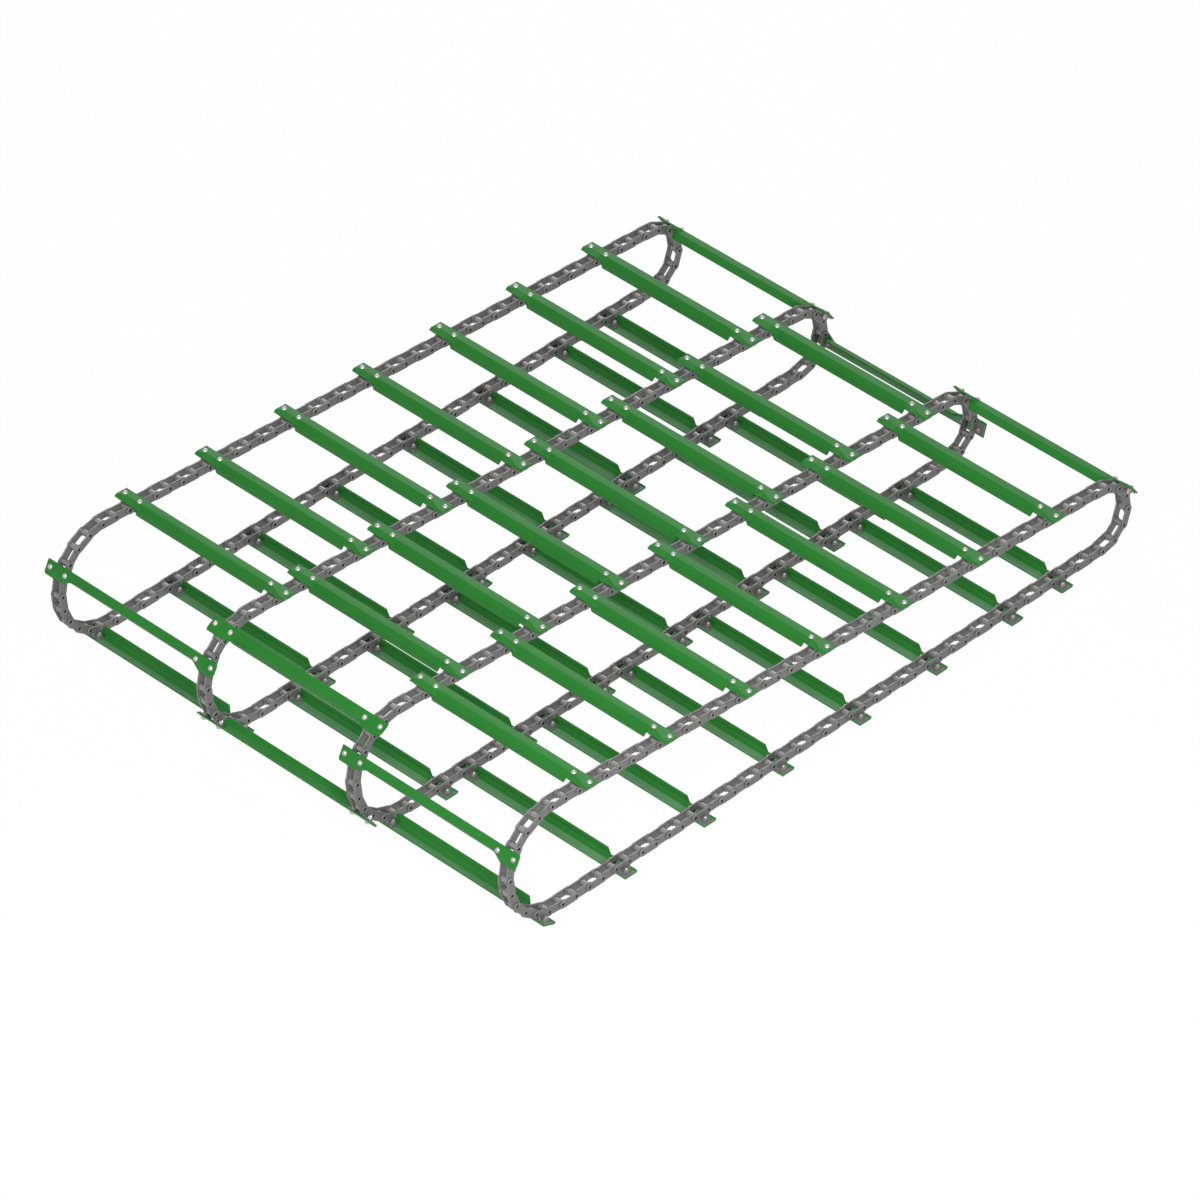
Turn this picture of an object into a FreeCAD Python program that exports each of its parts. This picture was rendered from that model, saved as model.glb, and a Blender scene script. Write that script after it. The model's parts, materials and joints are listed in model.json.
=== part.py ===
"""Feederhouse conveyor chain: four roller chain strands that carry three bays of bent slats."""
import FreeCAD
import Part
import Sketcher
import math
import os

# Sizes in millimetres
SIZES = (
    ("pitch", 41.4),
    ("tail_radius", 145.8),
    ("head_radius", 86.6),
    ("first_pin_run", 22.6),
    ("strand_gap", 492.5),
    ("plate_height", 20.4),
    ("inner_plate_height", 23.2),
    ("plate_thick", 3.0),
    ("inner_width", 20.0),
    ("side_play", 0.4),
    ("pin_dia", 8.0),
    ("pin_play", 0.06),
    ("pin_recess", 0.6),
    ("bush_dia", 11.4),
    ("roller_dia", 16.7),
    ("roller_play", 0.08),
    ("roller_side_play", 0.2),
    ("lug_rise", 1.8),
    ("lug_thick", 3.5),
    ("lug_out", 19.6),
    ("lug_tail", 7.0),
    ("lug_wide_tail", 12.5),
    ("lug_front", 11.5),
    ("lug_root", 4.0),
    ("lug_bend", 4.5),
    ("slat_thick", 4.0),
    ("slat_back", 16.2),
    ("slat_front", 13.5),
    ("slat_bend", 10.0),
    ("slat_depth", 32.4),
    ("slat_over", 2.0),
    ("leg_gap", 1.5),
    ("leg_trim", 12.0),
    ("leg_trim_drop", 16.0),
    ("tongue_long", 20.0),
    ("tongue_trim", 9.0),
    ("tongue_drop", 3.0),
    ("crease_start", 7.5),
    ("crease_lap", 1.5),
    ("lip_reach", 10.0),
    ("lip_drop", 6.0),
    ("lip_thick_drop", 3.0),
    ("lip_under", 1.5),
    ("lip_end_reach", 13.0),
    ("lip_end_drop", 0.6),
    ("bolt_out", 8.6),
    ("bolt_dia", 8.0),
    ("bolt_hole_dia", 8.6),
    ("bolt_head_dia", 14.0),
    ("bolt_head_high", 5.5),
    ("bolt_tail", 2.5),
    ("nut_across", 13.0),
    ("nut_high", 6.5),
    ("nut_play", 0.05),
)

# Counts of the chain and the rows where its pieces part
PIN_ROWS = 102
STRANDS = (1, 2, 3, 4)
BAYS = (1, 2, 3)
MIDDLE_BAY = 2
MIDDLE_STRANDS = (2, 3)
STRAND_CENTRE = 2.5
BAY_CENTRE = 2.0
SECTION_STARTS = (0, 10, 20, 30)
HEAD_ROW = 42
OPEN_ROW = 49
LEVEL_ROW = 70
SIDE_SLAT_ROWS = (1, 7, 13, 19, 25, 31, 37, 43, 51, 55, 61, 67, 73, 79, 85, 91, 97)
SLAT_STAGGER = 2
SPIN_ROWS = (43, 44, 45, 46, 47, 48)
BISECTIONS = 60
LONGEST_STEP = 1.25
SHORTEST_STEP = 0.9
SPAN_SEARCH = 3.0
HEX_SIDES = 6
QUARTER_TURN = 90.0
THROUGH = 4
OUT_FOLDER = "parts"

# Names that a drawing has for its own lines and points
FLAT_AXIS = -1
UPRIGHT_AXIS = -2
ORIGIN = (-1, 1)
START = 1
STOP = 2
CENTRE = 3


class Size:
    """A length together with the sheet expression that gives it."""

    def __init__(self, value, text):
        self.value = float(value)
        self.text = text

    @staticmethod
    def of(item):
        """Gives plain numbers the same form as sheet sizes."""
        return item if isinstance(item, Size) else Size(item, repr(float(item)))

    def __add__(self, other):
        other = Size.of(other)
        return Size(self.value + other.value, f"({self.text} + {other.text})")

    def __sub__(self, other):
        other = Size.of(other)
        return Size(self.value - other.value, f"({self.text} - {other.text})")

    def __mul__(self, factor):
        return Size(self.value * factor, f"({self.text} * {factor})")

    def __truediv__(self, factor):
        return Size(self.value / factor, f"({self.text} / {factor})")

    def __neg__(self):
        return Size(-self.value, f"(0 - {self.text})")


class SizeBook:
    """The sheet of sizes, read back as lengths with expressions."""

    def __init__(self, doc):
        self.sheet = doc.addObject("Spreadsheet::Sheet", "Sizes")
        for row, (name, value) in enumerate(SIZES, start=1):
            self.sheet.set(f"A{row}", name)
            self.sheet.set(f"B{row}", str(value))
            self.sheet.setAlias(f"B{row}", name)
        doc.recompute()
        for name, value in SIZES:
            setattr(self, name, Size(getattr(self.sheet, name), f"Sizes.{name}"))


DOC = FreeCAD.newDocument("FeederChain")
S = SizeBook(DOC)
NIL = Size(0.0, "0")

# Widths across one strand, measured from its middle
INNER_HALF = S.inner_width / 2
INNER_OUT = INNER_HALF + S.plate_thick
OUTER_IN = INNER_OUT + S.side_play
OUTER_OUT = OUTER_IN + S.plate_thick
LUG_OUT = OUTER_OUT + S.lug_out
BOLT_Y = OUTER_OUT + S.bolt_out

# Heights outwards from the pin line
PLATE_TOP = S.plate_height / 2
LUG_BASE = PLATE_TOP + S.lug_rise
LUG_TOP = LUG_BASE + S.lug_thick
SLAT_TOP = LUG_TOP + S.slat_thick
SLAT_TIP = SLAT_TOP - S.slat_depth

# Lengths along one slat, measured from its middle
LEG_END = S.strand_gap / 2 - LUG_OUT - S.leg_gap
SLAT_END = S.strand_gap / 2 + LUG_OUT + S.slat_over
NEAR_BOLT = S.strand_gap / 2 - BOLT_Y
FAR_BOLT = S.strand_gap / 2 + BOLT_Y


def new_body(name):
    """Starts a solid of its own."""
    return DOC.addObject("PartDesign::Body", name)


def sketch_on(body, role, name, lift=None):
    """Starts a drawing on one of the body's own planes, raised along its normal."""
    sketch = body.newObject("Sketcher::SketchObject", name)
    plane = [item for item in body.Origin.OriginFeatures if item.Role == role][0]
    sketch.AttachmentSupport = [(plane, "")]
    sketch.MapMode = "FlatFace"
    if lift is not None:
        base = FreeCAD.Vector(0, 0, lift.value)
        sketch.AttachmentOffset = FreeCAD.Placement(base, FreeCAD.Rotation())
        sketch.setExpression("AttachmentOffset.Base.z", lift.text)
    return sketch


def hold(sketch, geo, spot, point, name):
    """Holds one drawn point at a place given by the sheet."""
    for kind, axis, size in (("DistanceX", UPRIGHT_AXIS, point[0]), ("DistanceY", FLAT_AXIS, point[1])):
        if size.value == 0.0:
            sketch.addConstraint(Sketcher.Constraint("PointOnObject", geo, spot, axis))
            continue
        ends = (*ORIGIN, geo, spot) if size.value > 0 else (geo, spot, *ORIGIN)
        rule = Sketcher.Constraint(kind, *ends, abs(size.value))
        index = sketch.addConstraint(rule)
        label = f"{name}_{kind[-1].lower()}"
        sketch.renameConstraint(index, label)
        text = size.text if size.value > 0 else (-size).text
        sketch.setExpression(f"Constraints.{label}", text)


def outline(sketch, name, points, bends=None):
    """Draws a closed outline through points; bends maps a side to its arc centre and turn."""
    bends = bends or {}
    spots = [FreeCAD.Vector(p[0].value, p[1].value, 0) for p in points]
    first = sketch.GeometryCount
    count = len(points)
    ends = []
    for side in range(count):
        start = spots[side]
        stop = spots[(side + 1) % count]
        if side not in bends:
            sketch.addGeometry(Part.LineSegment(start, stop), False)
            ends.append((START, STOP))
            continue
        centre_at, turn = bends[side]
        centre = FreeCAD.Vector(centre_at[0].value, centre_at[1].value, 0)
        ring = Part.Circle(centre, FreeCAD.Vector(0, 0, 1), (start - centre).Length)
        low, high = (start, stop) if turn > 0 else (stop, start)
        angles = [math.atan2(p.y - centre.y, p.x - centre.x) for p in (low, high)]
        if angles[1] <= angles[0]:
            angles[1] += 2 * math.pi
        sketch.addGeometry(Part.ArcOfCircle(ring, angles[0], angles[1]), False)
        ends.append((START, STOP) if turn > 0 else (STOP, START))
    for side in range(count):
        after = (side + 1) % count
        meet = (first + side, ends[side][1], first + after, ends[after][0])
        sketch.addConstraint(Sketcher.Constraint("Coincident", *meet))
    for side in range(count):
        hold(sketch, first + side, ends[side][0], points[side], f"{name}{side}")
        if side not in bends:
            continue
        across = bends[side][0][0]
        middle = (first + side, CENTRE)
        order = (*ORIGIN, *middle) if across.value > 0 else (*middle, *ORIGIN)
        index = sketch.addConstraint(Sketcher.Constraint("DistanceX", *order, abs(across.value)))
        label = f"{name}{side}_centre"
        sketch.renameConstraint(index, label)
        text = across.text if across.value > 0 else (-across).text
        sketch.setExpression(f"Constraints.{label}", text)


def ring(sketch, name, point, dia):
    """Draws one circle held at a point."""
    centre = FreeCAD.Vector(point[0].value, point[1].value, 0)
    circle = Part.Circle(centre, FreeCAD.Vector(0, 0, 1), dia.value / 2)
    geo = sketch.addGeometry(circle, False)
    hold(sketch, geo, CENTRE, point, name)
    index = sketch.addConstraint(Sketcher.Constraint("Diameter", geo, dia.value))
    sketch.renameConstraint(index, f"{name}_dia")
    sketch.setExpression(f"Constraints.{name}_dia", dia.text)


def box_outline(sketch, name, low, high):
    """Draws a rectangle between two corners."""
    outline(sketch, name, [low, (high[0], low[1]), high, (low[0], high[1])])


def raise_from(body, kind, sketch, name, length, side="Symmetric", flip=False):
    """Pads or pockets one drawing."""
    feature = body.newObject(f"PartDesign::{kind}", name)
    feature.Profile = sketch
    feature.SideType = side
    feature.Reversed = flip
    feature.Length = length.value
    feature.setExpression("Length", length.text)
    sketch.Visibility = False
    return feature


def plate_outline(sketch, hole_dia, top):
    """The obround outline of a link plate with its two holes."""
    reach = S.pitch / 2
    points = [(-reach, -top), (reach, -top), (reach, top), (-reach, top)]
    bends = {1: ((reach, NIL), 1), 3: ((-reach, NIL), 1)}
    outline(sketch, "plate", points, bends)
    ring(sketch, "tail_hole", (-reach, NIL), hole_dia)
    ring(sketch, "head_hole", (reach, NIL), hole_dia)


def plate_form(name, hole_dia, top):
    """One flat link plate, centred on its own thickness."""
    body = new_body(f"{name}Form")
    sketch = sketch_on(body, "XZ_Plane", f"{name}Outline")
    plate_outline(sketch, hole_dia, top)
    raise_from(body, "Pad", sketch, f"{name}Pad", S.plate_thick)
    return body


def attachment_form(name, side, tail):
    """One outer plate with a lug bent outwards over it; side is +1 on the far face of a strand."""
    body = new_body(f"{name}Form")
    middle = OUTER_IN + S.plate_thick / 2
    flat = sketch_on(body, "XZ_Plane", f"{name}Outline", middle * -side)
    plate_outline(flat, S.pin_dia, PLATE_TOP)
    raise_from(body, "Pad", flat, f"{name}Plate", S.plate_thick)
    lug = sketch_on(body, "YZ_Plane", f"{name}LugSection", -tail)
    root = PLATE_TOP - S.lug_root
    turn_in = LUG_TOP - S.lug_bend
    turn_out = LUG_BASE - (S.lug_bend - S.lug_thick)
    section = [
        (OUTER_IN, root),
        (OUTER_OUT, root),
        (OUTER_OUT, turn_out),
        (OUTER_IN + S.lug_bend, LUG_BASE),
        (LUG_OUT, LUG_BASE),
        (LUG_OUT, LUG_TOP),
        (OUTER_IN + S.lug_bend, LUG_TOP),
        (OUTER_IN, turn_in),
    ]
    outline(lug, "lug", [(p[0] * side, p[1]) for p in section])
    raise_from(body, "Pad", lug, f"{name}Lug", S.lug_front + tail, "One side")
    hole = sketch_on(body, "XY_Plane", f"{name}BoltHole")
    ring(hole, "bolt_hole", (NIL, BOLT_Y * side), S.bolt_hole_dia)
    raise_from(body, "Pocket", hole, f"{name}Bored", LUG_TOP * THROUGH)
    return body


def lip_points(at_end):
    """The flared lip in front of the flange: sloped at its start, flat at the slat's end."""
    lap = -(S.crease_start - S.crease_lap)
    if at_end:
        front = -(S.slat_front + S.lip_end_reach)
        crease = front + S.lip_end_drop * 2
        return [
            (lap, SLAT_TOP),
            (crease, SLAT_TOP),
            (front, SLAT_TOP - S.lip_end_drop),
            (front, LUG_TOP),
            (crease, LUG_TOP),
            (lap, LUG_TOP),
        ]
    front = -(S.slat_front + S.lip_reach)
    return [
        (lap, SLAT_TOP),
        (-S.crease_start, SLAT_TOP),
        (front, SLAT_TOP - S.lip_drop),
        (front + S.lip_under, SLAT_TOP - S.lip_drop - S.lip_thick_drop),
        (-S.crease_start, LUG_TOP),
        (lap, LUG_TOP),
    ]


def slat_form():
    """One bent slat: flange on the lugs, leg between the strands, flared lips at both ends."""
    body = new_body("SlatForm")
    flange = sketch_on(body, "XZ_Plane", "FlangeSection")
    crease = -(S.crease_start - S.crease_lap)
    box_outline(flange, "flange", (crease, LUG_TOP), (S.slat_back, SLAT_TOP))
    raise_from(body, "Pad", flange, "Flange", SLAT_END * 2)
    leg = sketch_on(body, "XZ_Plane", "LegSection")
    front = -S.slat_front
    inside = front + S.slat_thick
    centre = (front + S.slat_bend, SLAT_TOP - S.slat_bend)
    points = [
        (S.slat_back, LUG_TOP),
        (S.slat_back, SLAT_TOP),
        (centre[0], SLAT_TOP),
        (front, centre[1]),
        (front, SLAT_TIP),
        (inside, SLAT_TIP),
        (inside, centre[1]),
        (centre[0], LUG_TOP),
    ]
    outline(leg, "leg", points, {2: (centre, 1), 6: (centre, -1)})
    raise_from(body, "Pad", leg, "Leg", LEG_END * 2)
    trim = sketch_on(body, "YZ_Plane", "LegTrim")
    high = SLAT_TIP + S.leg_trim_drop
    outline(trim, "trim", [(-LEG_END, SLAT_TIP), (-(LEG_END - S.leg_trim), SLAT_TIP), (-LEG_END, high)])
    raise_from(body, "Pocket", trim, "LegTrimmed", S.slat_front * THROUGH)
    tongue = sketch_on(body, "YZ_Plane", "TongueOutline", front)
    top = LUG_BASE - S.tongue_drop
    tongue_end = LEG_END + S.tongue_long
    short_end = tongue_end - S.tongue_trim
    inboard = LEG_END - S.slat_thick
    corners = [(inboard, SLAT_TIP), (short_end, SLAT_TIP), (tongue_end, top), (inboard, top)]
    outline(tongue, "tongue", corners)
    raise_from(body, "Pad", tongue, "Tongue", S.slat_thick, "One side")
    for label, sign in (("Far", -1), ("Near", 1)):
        start = sketch_on(body, "XZ_Plane", f"{label}LipStart", LEG_END * sign)
        outline(start, "start", lip_points(False))
        stop = sketch_on(body, "XZ_Plane", f"{label}LipEnd", SLAT_END * sign)
        outline(stop, "stop", lip_points(True))
        lip = body.newObject("PartDesign::AdditiveLoft", f"{label}Lip")
        lip.Profile = start
        lip.Sections = [stop]
        lip.Ruled = True
        start.Visibility = False
        stop.Visibility = False
    holes = sketch_on(body, "XY_Plane", "SlatBoltHoles")
    for label, along in (("near", NEAR_BOLT), ("far", FAR_BOLT)):
        ring(holes, f"{label}_left", (NIL, along), S.bolt_hole_dia)
        ring(holes, f"{label}_right", (NIL, -along), S.bolt_hole_dia)
    raise_from(body, "Pocket", holes, "SlatBored", SLAT_TOP * THROUGH)
    return body


def bound(kind, name, **sizes):
    """Adds one primitive with its properties tied to the sheet."""
    item = DOC.addObject(f"Part::{kind}", name)
    for key, size in sizes.items():
        setattr(item, key, size.value)
        item.setExpression(key, size.text)
    return item


def joined(kind, name, base, tool):
    """Joins two primitives into one shape."""
    item = DOC.addObject(f"Part::{kind}", name)
    item.Base = base
    item.Tool = tool
    return item


def across_strand(name, dia, long):
    """A round bar across the strand, centred on its middle."""
    item = bound("Cylinder", name, Radius=dia / 2, Height=long)
    turn = FreeCAD.Rotation(FreeCAD.Vector(1, 0, 0), -QUARTER_TURN)
    item.Placement = FreeCAD.Placement(FreeCAD.Vector(0, -long.value / 2, 0), turn)
    item.setExpression("Placement.Base.y", (-(long / 2)).text)
    return item


def roller_form():
    """One roller that turns on its bush."""
    wide = S.inner_width - S.roller_side_play * 2
    rim = across_strand("RollerRim", S.roller_dia, wide)
    bore = across_strand("RollerBore", S.bush_dia + S.roller_play * 2, S.inner_width * 2)
    return joined("Cut", "RollerForm", rim, bore)


def bush_form():
    """One bush, pressed through both inner plates and bored for its pin."""
    body = across_strand("BushBody", S.bush_dia, INNER_OUT * 2)
    bore = across_strand("BushBore", S.pin_dia + S.pin_play * 2, INNER_OUT * THROUGH)
    return joined("Cut", "BushForm", body, bore)


def pin_form():
    """One pin, riveted a little below the faces of the outer plates."""
    return across_strand("PinForm", S.pin_dia, (OUTER_OUT - S.pin_recess) * 2)


def bolt_form():
    """A bolt with a low domed head and a plain shank."""
    half = S.bolt_head_dia.value / 2
    high = S.bolt_head_high.value
    dome = DOC.addObject("Part::Sphere", "BoltDome")
    rule_half = (S.bolt_head_dia / 2).text
    rule_high = S.bolt_head_high.text
    radius = f"(({rule_half}) ^ 2 + ({rule_high}) ^ 2) / (2 * {rule_high})"
    dome.Radius = (half ** 2 + high ** 2) / (2 * high)
    dome.setExpression("Radius", radius)
    dome.Angle1 = math.degrees(math.asin(1 - high / dome.Radius.Value))
    dome.setExpression("Angle1", f"asin(1 - {rule_high} / ({radius}))")
    dome.Placement.Base.z = SLAT_TOP.value + high - dome.Radius.Value
    dome.setExpression("Placement.Base.z", f"{SLAT_TOP.text} + {rule_high} - ({radius})")
    shank = bound("Cylinder", "BoltShank", Radius=S.bolt_dia / 2, Height=SLAT_TOP - S.bolt_tail)
    shank.Placement.Base.z = S.bolt_tail.value
    shank.setExpression("Placement.Base.z", S.bolt_tail.text)
    return joined("Fuse", "BoltForm", dome, shank)


def nut_form():
    """A six-sided nut under the lug."""
    corner = S.nut_across / (2 * math.cos(math.pi / HEX_SIDES))
    block = bound("Prism", "NutBlock", Circumradius=corner, Height=S.nut_high)
    block.Polygon = HEX_SIDES
    base = LUG_BASE - S.nut_high
    block.Placement.Base.z = base.value
    block.setExpression("Placement.Base.z", base.text)
    bore = bound("Cylinder", "NutBore", Radius=S.bolt_dia / 2 + S.nut_play, Height=LUG_BASE * 2)
    bore.Placement.Base.z = -LUG_BASE.value
    bore.setExpression("Placement.Base.z", (-LUG_BASE).text)
    return joined("Cut", "NutForm", block, bore)


def joint_pin_form():
    """The short pin left in the open joint, flush with the inner plates."""
    return across_strand("JointPinForm", S.pin_dia, (INNER_OUT - S.pin_recess) * 2)


class Loop:
    """The closed path of the pins round the tail and head circles, lower run level."""

    def __init__(self):
        self.pitch = S.pitch.value
        self.tail = S.tail_radius.value
        self.head = S.head_radius.value
        straight = (PIN_ROWS * self.pitch - math.pi * (self.tail + self.head)) / 2
        low = straight - SPAN_SEARCH * self.pitch
        high = straight + SPAN_SEARCH * self.pitch
        for _ in range(BISECTIONS):
            middle = (low + high) / 2
            if self.walk(middle)[1] > 0:
                low = middle
            else:
                high = middle
        self.span = (low + high) / 2
        self.rows = self.walk(self.span)[0][:PIN_ROWS]

    def point(self, run, span):
        """The point after a run along the path, from the tail end of the upper side."""
        slope = math.asin((self.tail - self.head) / span)
        side = span * math.cos(slope)
        arcs = (self.head * (math.pi - 2 * slope), self.tail * (math.pi + 2 * slope))
        run = run % (2 * side + sum(arcs))
        if run < side:
            x = self.tail * math.sin(slope) + run * math.cos(slope)
            z = self.tail * math.cos(slope) - run * math.sin(slope)
        elif run < side + arcs[0]:
            angle = math.pi / 2 - slope - (run - side) / self.head
            x = span + self.head * math.cos(angle)
            z = self.head * math.sin(angle)
        elif run < 2 * side + arcs[0]:
            run = run - side - arcs[0]
            x = span + self.head * math.sin(slope) - run * math.cos(slope)
            z = -self.head * math.cos(slope) - run * math.sin(slope)
        else:
            angle = slope - math.pi / 2 - (run - 2 * side - arcs[0]) / self.tail
            x = self.tail * math.cos(angle)
            z = self.tail * math.sin(angle)
        level = math.cos(slope), math.sin(slope)
        return x * level[0] + z * level[1], z * level[0] - x * level[1]

    def length(self, span):
        """The length of the whole path."""
        slope = math.asin((self.tail - self.head) / span)
        round_parts = self.head * (math.pi - 2 * slope) + self.tail * (math.pi + 2 * slope)
        return 2 * span * math.cos(slope) + round_parts

    def walk(self, span):
        """Steps one pitch at a time round the path; gives the points and the gap left over."""
        run = S.first_pin_run.value
        spots = [self.point(run, span)]
        for _ in range(PIN_ROWS):
            low = run + SHORTEST_STEP * self.pitch
            high = run + LONGEST_STEP * self.pitch
            for _ in range(BISECTIONS):
                middle = (low + high) / 2
                spot = self.point(middle, span)
                if math.dist(spot, spots[-1]) < self.pitch:
                    low = middle
                else:
                    high = middle
            run = (low + high) / 2
            spots.append(self.point(run, span))
        return spots, run - S.first_pin_run.value - self.length(span)

    def link(self, row, across, lead=0.0):
        """The place of the link that starts at a pin row, at a distance across the strands."""
        start = self.rows[row % PIN_ROWS]
        stop = self.rows[(row + 1) % PIN_ROWS]
        angle = math.degrees(math.atan2(stop[1] - start[1], stop[0] - start[0]))
        turn = FreeCAD.Rotation(FreeCAD.Vector(0, 1, 0), -angle)
        middle = FreeCAD.Vector((start[0] + stop[0]) / 2, across, (start[1] + stop[1]) / 2)
        return FreeCAD.Placement(middle + turn.multVec(FreeCAD.Vector(lead, 0, 0)), turn)


class Chain:
    """Places copies of the forms round the loop and gathers them into named pieces."""

    def __init__(self, loop, forms):
        self.loop = loop
        self.forms = {name: form.Shape.Solids[0] for name, form in forms.items()}
        self.pieces = {}

    def put(self, node, form, place):
        """Adds one copy of a form to a named piece."""
        shape = self.forms[form].copy()
        shape.Placement = place.multiply(shape.Placement)
        self.pieces.setdefault(node, []).append(shape)

    @staticmethod
    def across(strand):
        """The middle of a strand across the chain."""
        return (STRAND_CENTRE - strand) * S.strand_gap.value

    @staticmethod
    def owner(row):
        """The group of pieces that moves with the link at a row."""
        if row >= OPEN_ROW:
            return "base"
        if row >= HEAD_ROW:
            return "head"
        return f"section_{sum(row >= start for start in SECTION_STARTS)}"

    def slat_bays(self, row):
        """The bays whose slat sits on the link at a row."""
        if row in SIDE_SLAT_ROWS:
            return tuple(bay for bay in BAYS if bay != MIDDLE_BAY)
        if row - SLAT_STAGGER in SIDE_SLAT_ROWS:
            return (MIDDLE_BAY,)
        return ()

    def inner_link(self, row):
        """One inner link on every strand: two plates, two bushes and two rollers."""
        group = self.owner(row)
        half = self.loop.pitch / 2
        plate_y = (INNER_HALF + S.plate_thick / 2).value
        for strand in STRANDS:
            y = self.across(strand)
            for side in (-1, 1):
                place = self.loop.link(row, y + side * plate_y)
                self.put(f"{group}_inner_plates", "inner_plate", place)
            for at, lead in ((row, -half), (row + 1, half)):
                place = self.loop.link(row, y, lead)
                node = f"{group}_rollers"
                if at in SPIN_ROWS:
                    node = f"head_roller_row_{SPIN_ROWS.index(at) + 1}"
                self.put(node, "roller", place)
                self.put(f"{group}_bushes", "bush", place)
                if at == OPEN_ROW:
                    self.put("head_joint_pins", "joint_pin", place)

    def outer_link(self, row):
        """One outer link on every strand, with lugs where a slat is carried."""
        group = self.owner(row)
        bays = self.slat_bays(row)
        half = self.loop.pitch / 2
        plate_y = (OUTER_IN + S.plate_thick / 2).value
        for strand in STRANDS:
            y = self.across(strand)
            place = self.loop.link(row, y)
            if bays and (bays != (MIDDLE_BAY,) or strand in MIDDLE_STRANDS):
                far_end = strand in bays
                node = f"{group}_attachment_plates"
                self.put(node, "far_wide_lug" if far_end else "far_lug", place)
                self.put(node, "near_lug" if far_end else "near_wide_lug", place)
                self.fasteners(group, place)
            else:
                for side in (-1, 1):
                    aside = self.loop.link(row, y + side * plate_y)
                    self.put(f"{group}_outer_plates", "outer_plate", aside)
            for at, lead in ((row, -half), (row + 1, half)):
                if at != OPEN_ROW:
                    self.put(f"{group}_pins", "pin", self.loop.link(row, y, lead))
        for bay in bays:
            node = f"{group}_slats"
            if group == "base":
                node = "base_middle_slats" if bay == MIDDLE_BAY else "base_side_slats"
            y = (BAY_CENTRE - bay) * S.strand_gap.value
            self.put(node, "slat", self.loop.link(row, y))

    def fasteners(self, group, place):
        """The two bolts and nuts of one lug pair."""
        for side in (-1, 1):
            step = FreeCAD.Placement(FreeCAD.Vector(0, side * BOLT_Y.value, 0), FreeCAD.Rotation())
            at = place.multiply(step)
            split = group in ("base", "head")
            self.put(f"{group}_bolts" if split else f"{group}_bolt_sets", "bolt", at)
            self.put(f"{group}_nuts" if split else f"{group}_bolt_sets", "nut", at)

    def build(self):
        """Goes once round the loop."""
        for row in range(PIN_ROWS):
            if row % 2:
                self.outer_link(row)
            else:
                self.inner_link(row)


def checked(doc):
    """Stops the build when any object failed."""
    for item in doc.Objects:
        if "Invalid" in item.State or "Error" in item.State:
            raise RuntimeError(f"{item.Name} failed: {item.State}")


def main():
    """Builds every form, places the copies and writes one file per named piece."""
    forms = {
        "inner_plate": plate_form("InnerPlate", S.bush_dia, S.inner_plate_height / 2),
        "outer_plate": plate_form("OuterPlate", S.pin_dia, PLATE_TOP),
        "far_lug": attachment_form("FarLug", 1, S.lug_tail),
        "far_wide_lug": attachment_form("FarWideLug", 1, S.lug_wide_tail),
        "near_lug": attachment_form("NearLug", -1, S.lug_tail),
        "near_wide_lug": attachment_form("NearWideLug", -1, S.lug_wide_tail),
        "bush": bush_form(),
        "pin": pin_form(),
        "roller": roller_form(),
        "slat": slat_form(),
        "bolt": bolt_form(),
        "nut": nut_form(),
        "joint_pin": joint_pin_form(),
    }
    DOC.recompute()
    checked(DOC)
    for name, form in forms.items():
        if form.Shape.isNull() or not form.Shape.isValid() or len(form.Shape.Solids) != 1:
            raise RuntimeError(f"form {name} is not one sound solid")
    chain = Chain(Loop(), forms)
    chain.build()
    edge_nodes = [name for name in chain.pieces if name.endswith(("slats", "bolts"))]
    edge = Part.makeCompound([s for name in edge_nodes for s in chain.pieces[name]]).BoundBox
    lowest = chain.loop.rows[LEVEL_ROW][1] - SLAT_TOP.value - S.bolt_head_high.value
    shift = FreeCAD.Vector(-(edge.XMin + edge.XMax) / 2, 0, -lowest)
    os.makedirs(OUT_FOLDER, exist_ok=True)
    for name, shapes in chain.pieces.items():
        piece = DOC.addObject("Part::Feature", name)
        piece.Label = name
        piece.Shape = Part.makeCompound(shapes)
        piece.Placement = FreeCAD.Placement(shift, FreeCAD.Rotation())
        if piece.Shape.isNull() or not piece.Shape.isValid():
            raise RuntimeError(f"piece {name} is not sound")
        piece.Shape.exportStep(os.path.join(OUT_FOLDER, f"{name}.step"))
    DOC.recompute()
    checked(DOC)


main()
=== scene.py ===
"""Looks of a feeder house conveyor chain.

Four strands of roller chain carry three bays of green slats. All lengths are in metres.
"""

import json
import logging
import math
from dataclasses import dataclass, field
from enum import Enum
from typing import Callable, Iterable, Sequence

import bmesh
import bpy
from mathutils import Matrix, Vector


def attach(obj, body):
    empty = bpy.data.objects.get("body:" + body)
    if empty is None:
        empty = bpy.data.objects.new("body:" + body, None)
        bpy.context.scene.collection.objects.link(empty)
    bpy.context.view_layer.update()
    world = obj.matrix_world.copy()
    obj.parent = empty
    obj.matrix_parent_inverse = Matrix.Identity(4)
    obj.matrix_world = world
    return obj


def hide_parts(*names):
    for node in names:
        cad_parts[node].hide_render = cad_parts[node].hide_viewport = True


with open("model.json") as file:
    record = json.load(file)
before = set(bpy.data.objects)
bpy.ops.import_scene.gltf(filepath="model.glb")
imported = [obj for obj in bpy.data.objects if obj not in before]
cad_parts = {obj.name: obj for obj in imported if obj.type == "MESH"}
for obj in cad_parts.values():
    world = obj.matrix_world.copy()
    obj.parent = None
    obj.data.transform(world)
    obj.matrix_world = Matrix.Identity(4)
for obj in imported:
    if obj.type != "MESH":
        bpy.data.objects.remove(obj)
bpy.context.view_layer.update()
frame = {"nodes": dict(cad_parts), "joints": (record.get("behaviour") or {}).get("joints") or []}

LOG = logging.getLogger("feeder_chain")

PITCH = 0.0414
STRAND_GAP = 0.4925
SLAT_TOP = 0.0195

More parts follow.
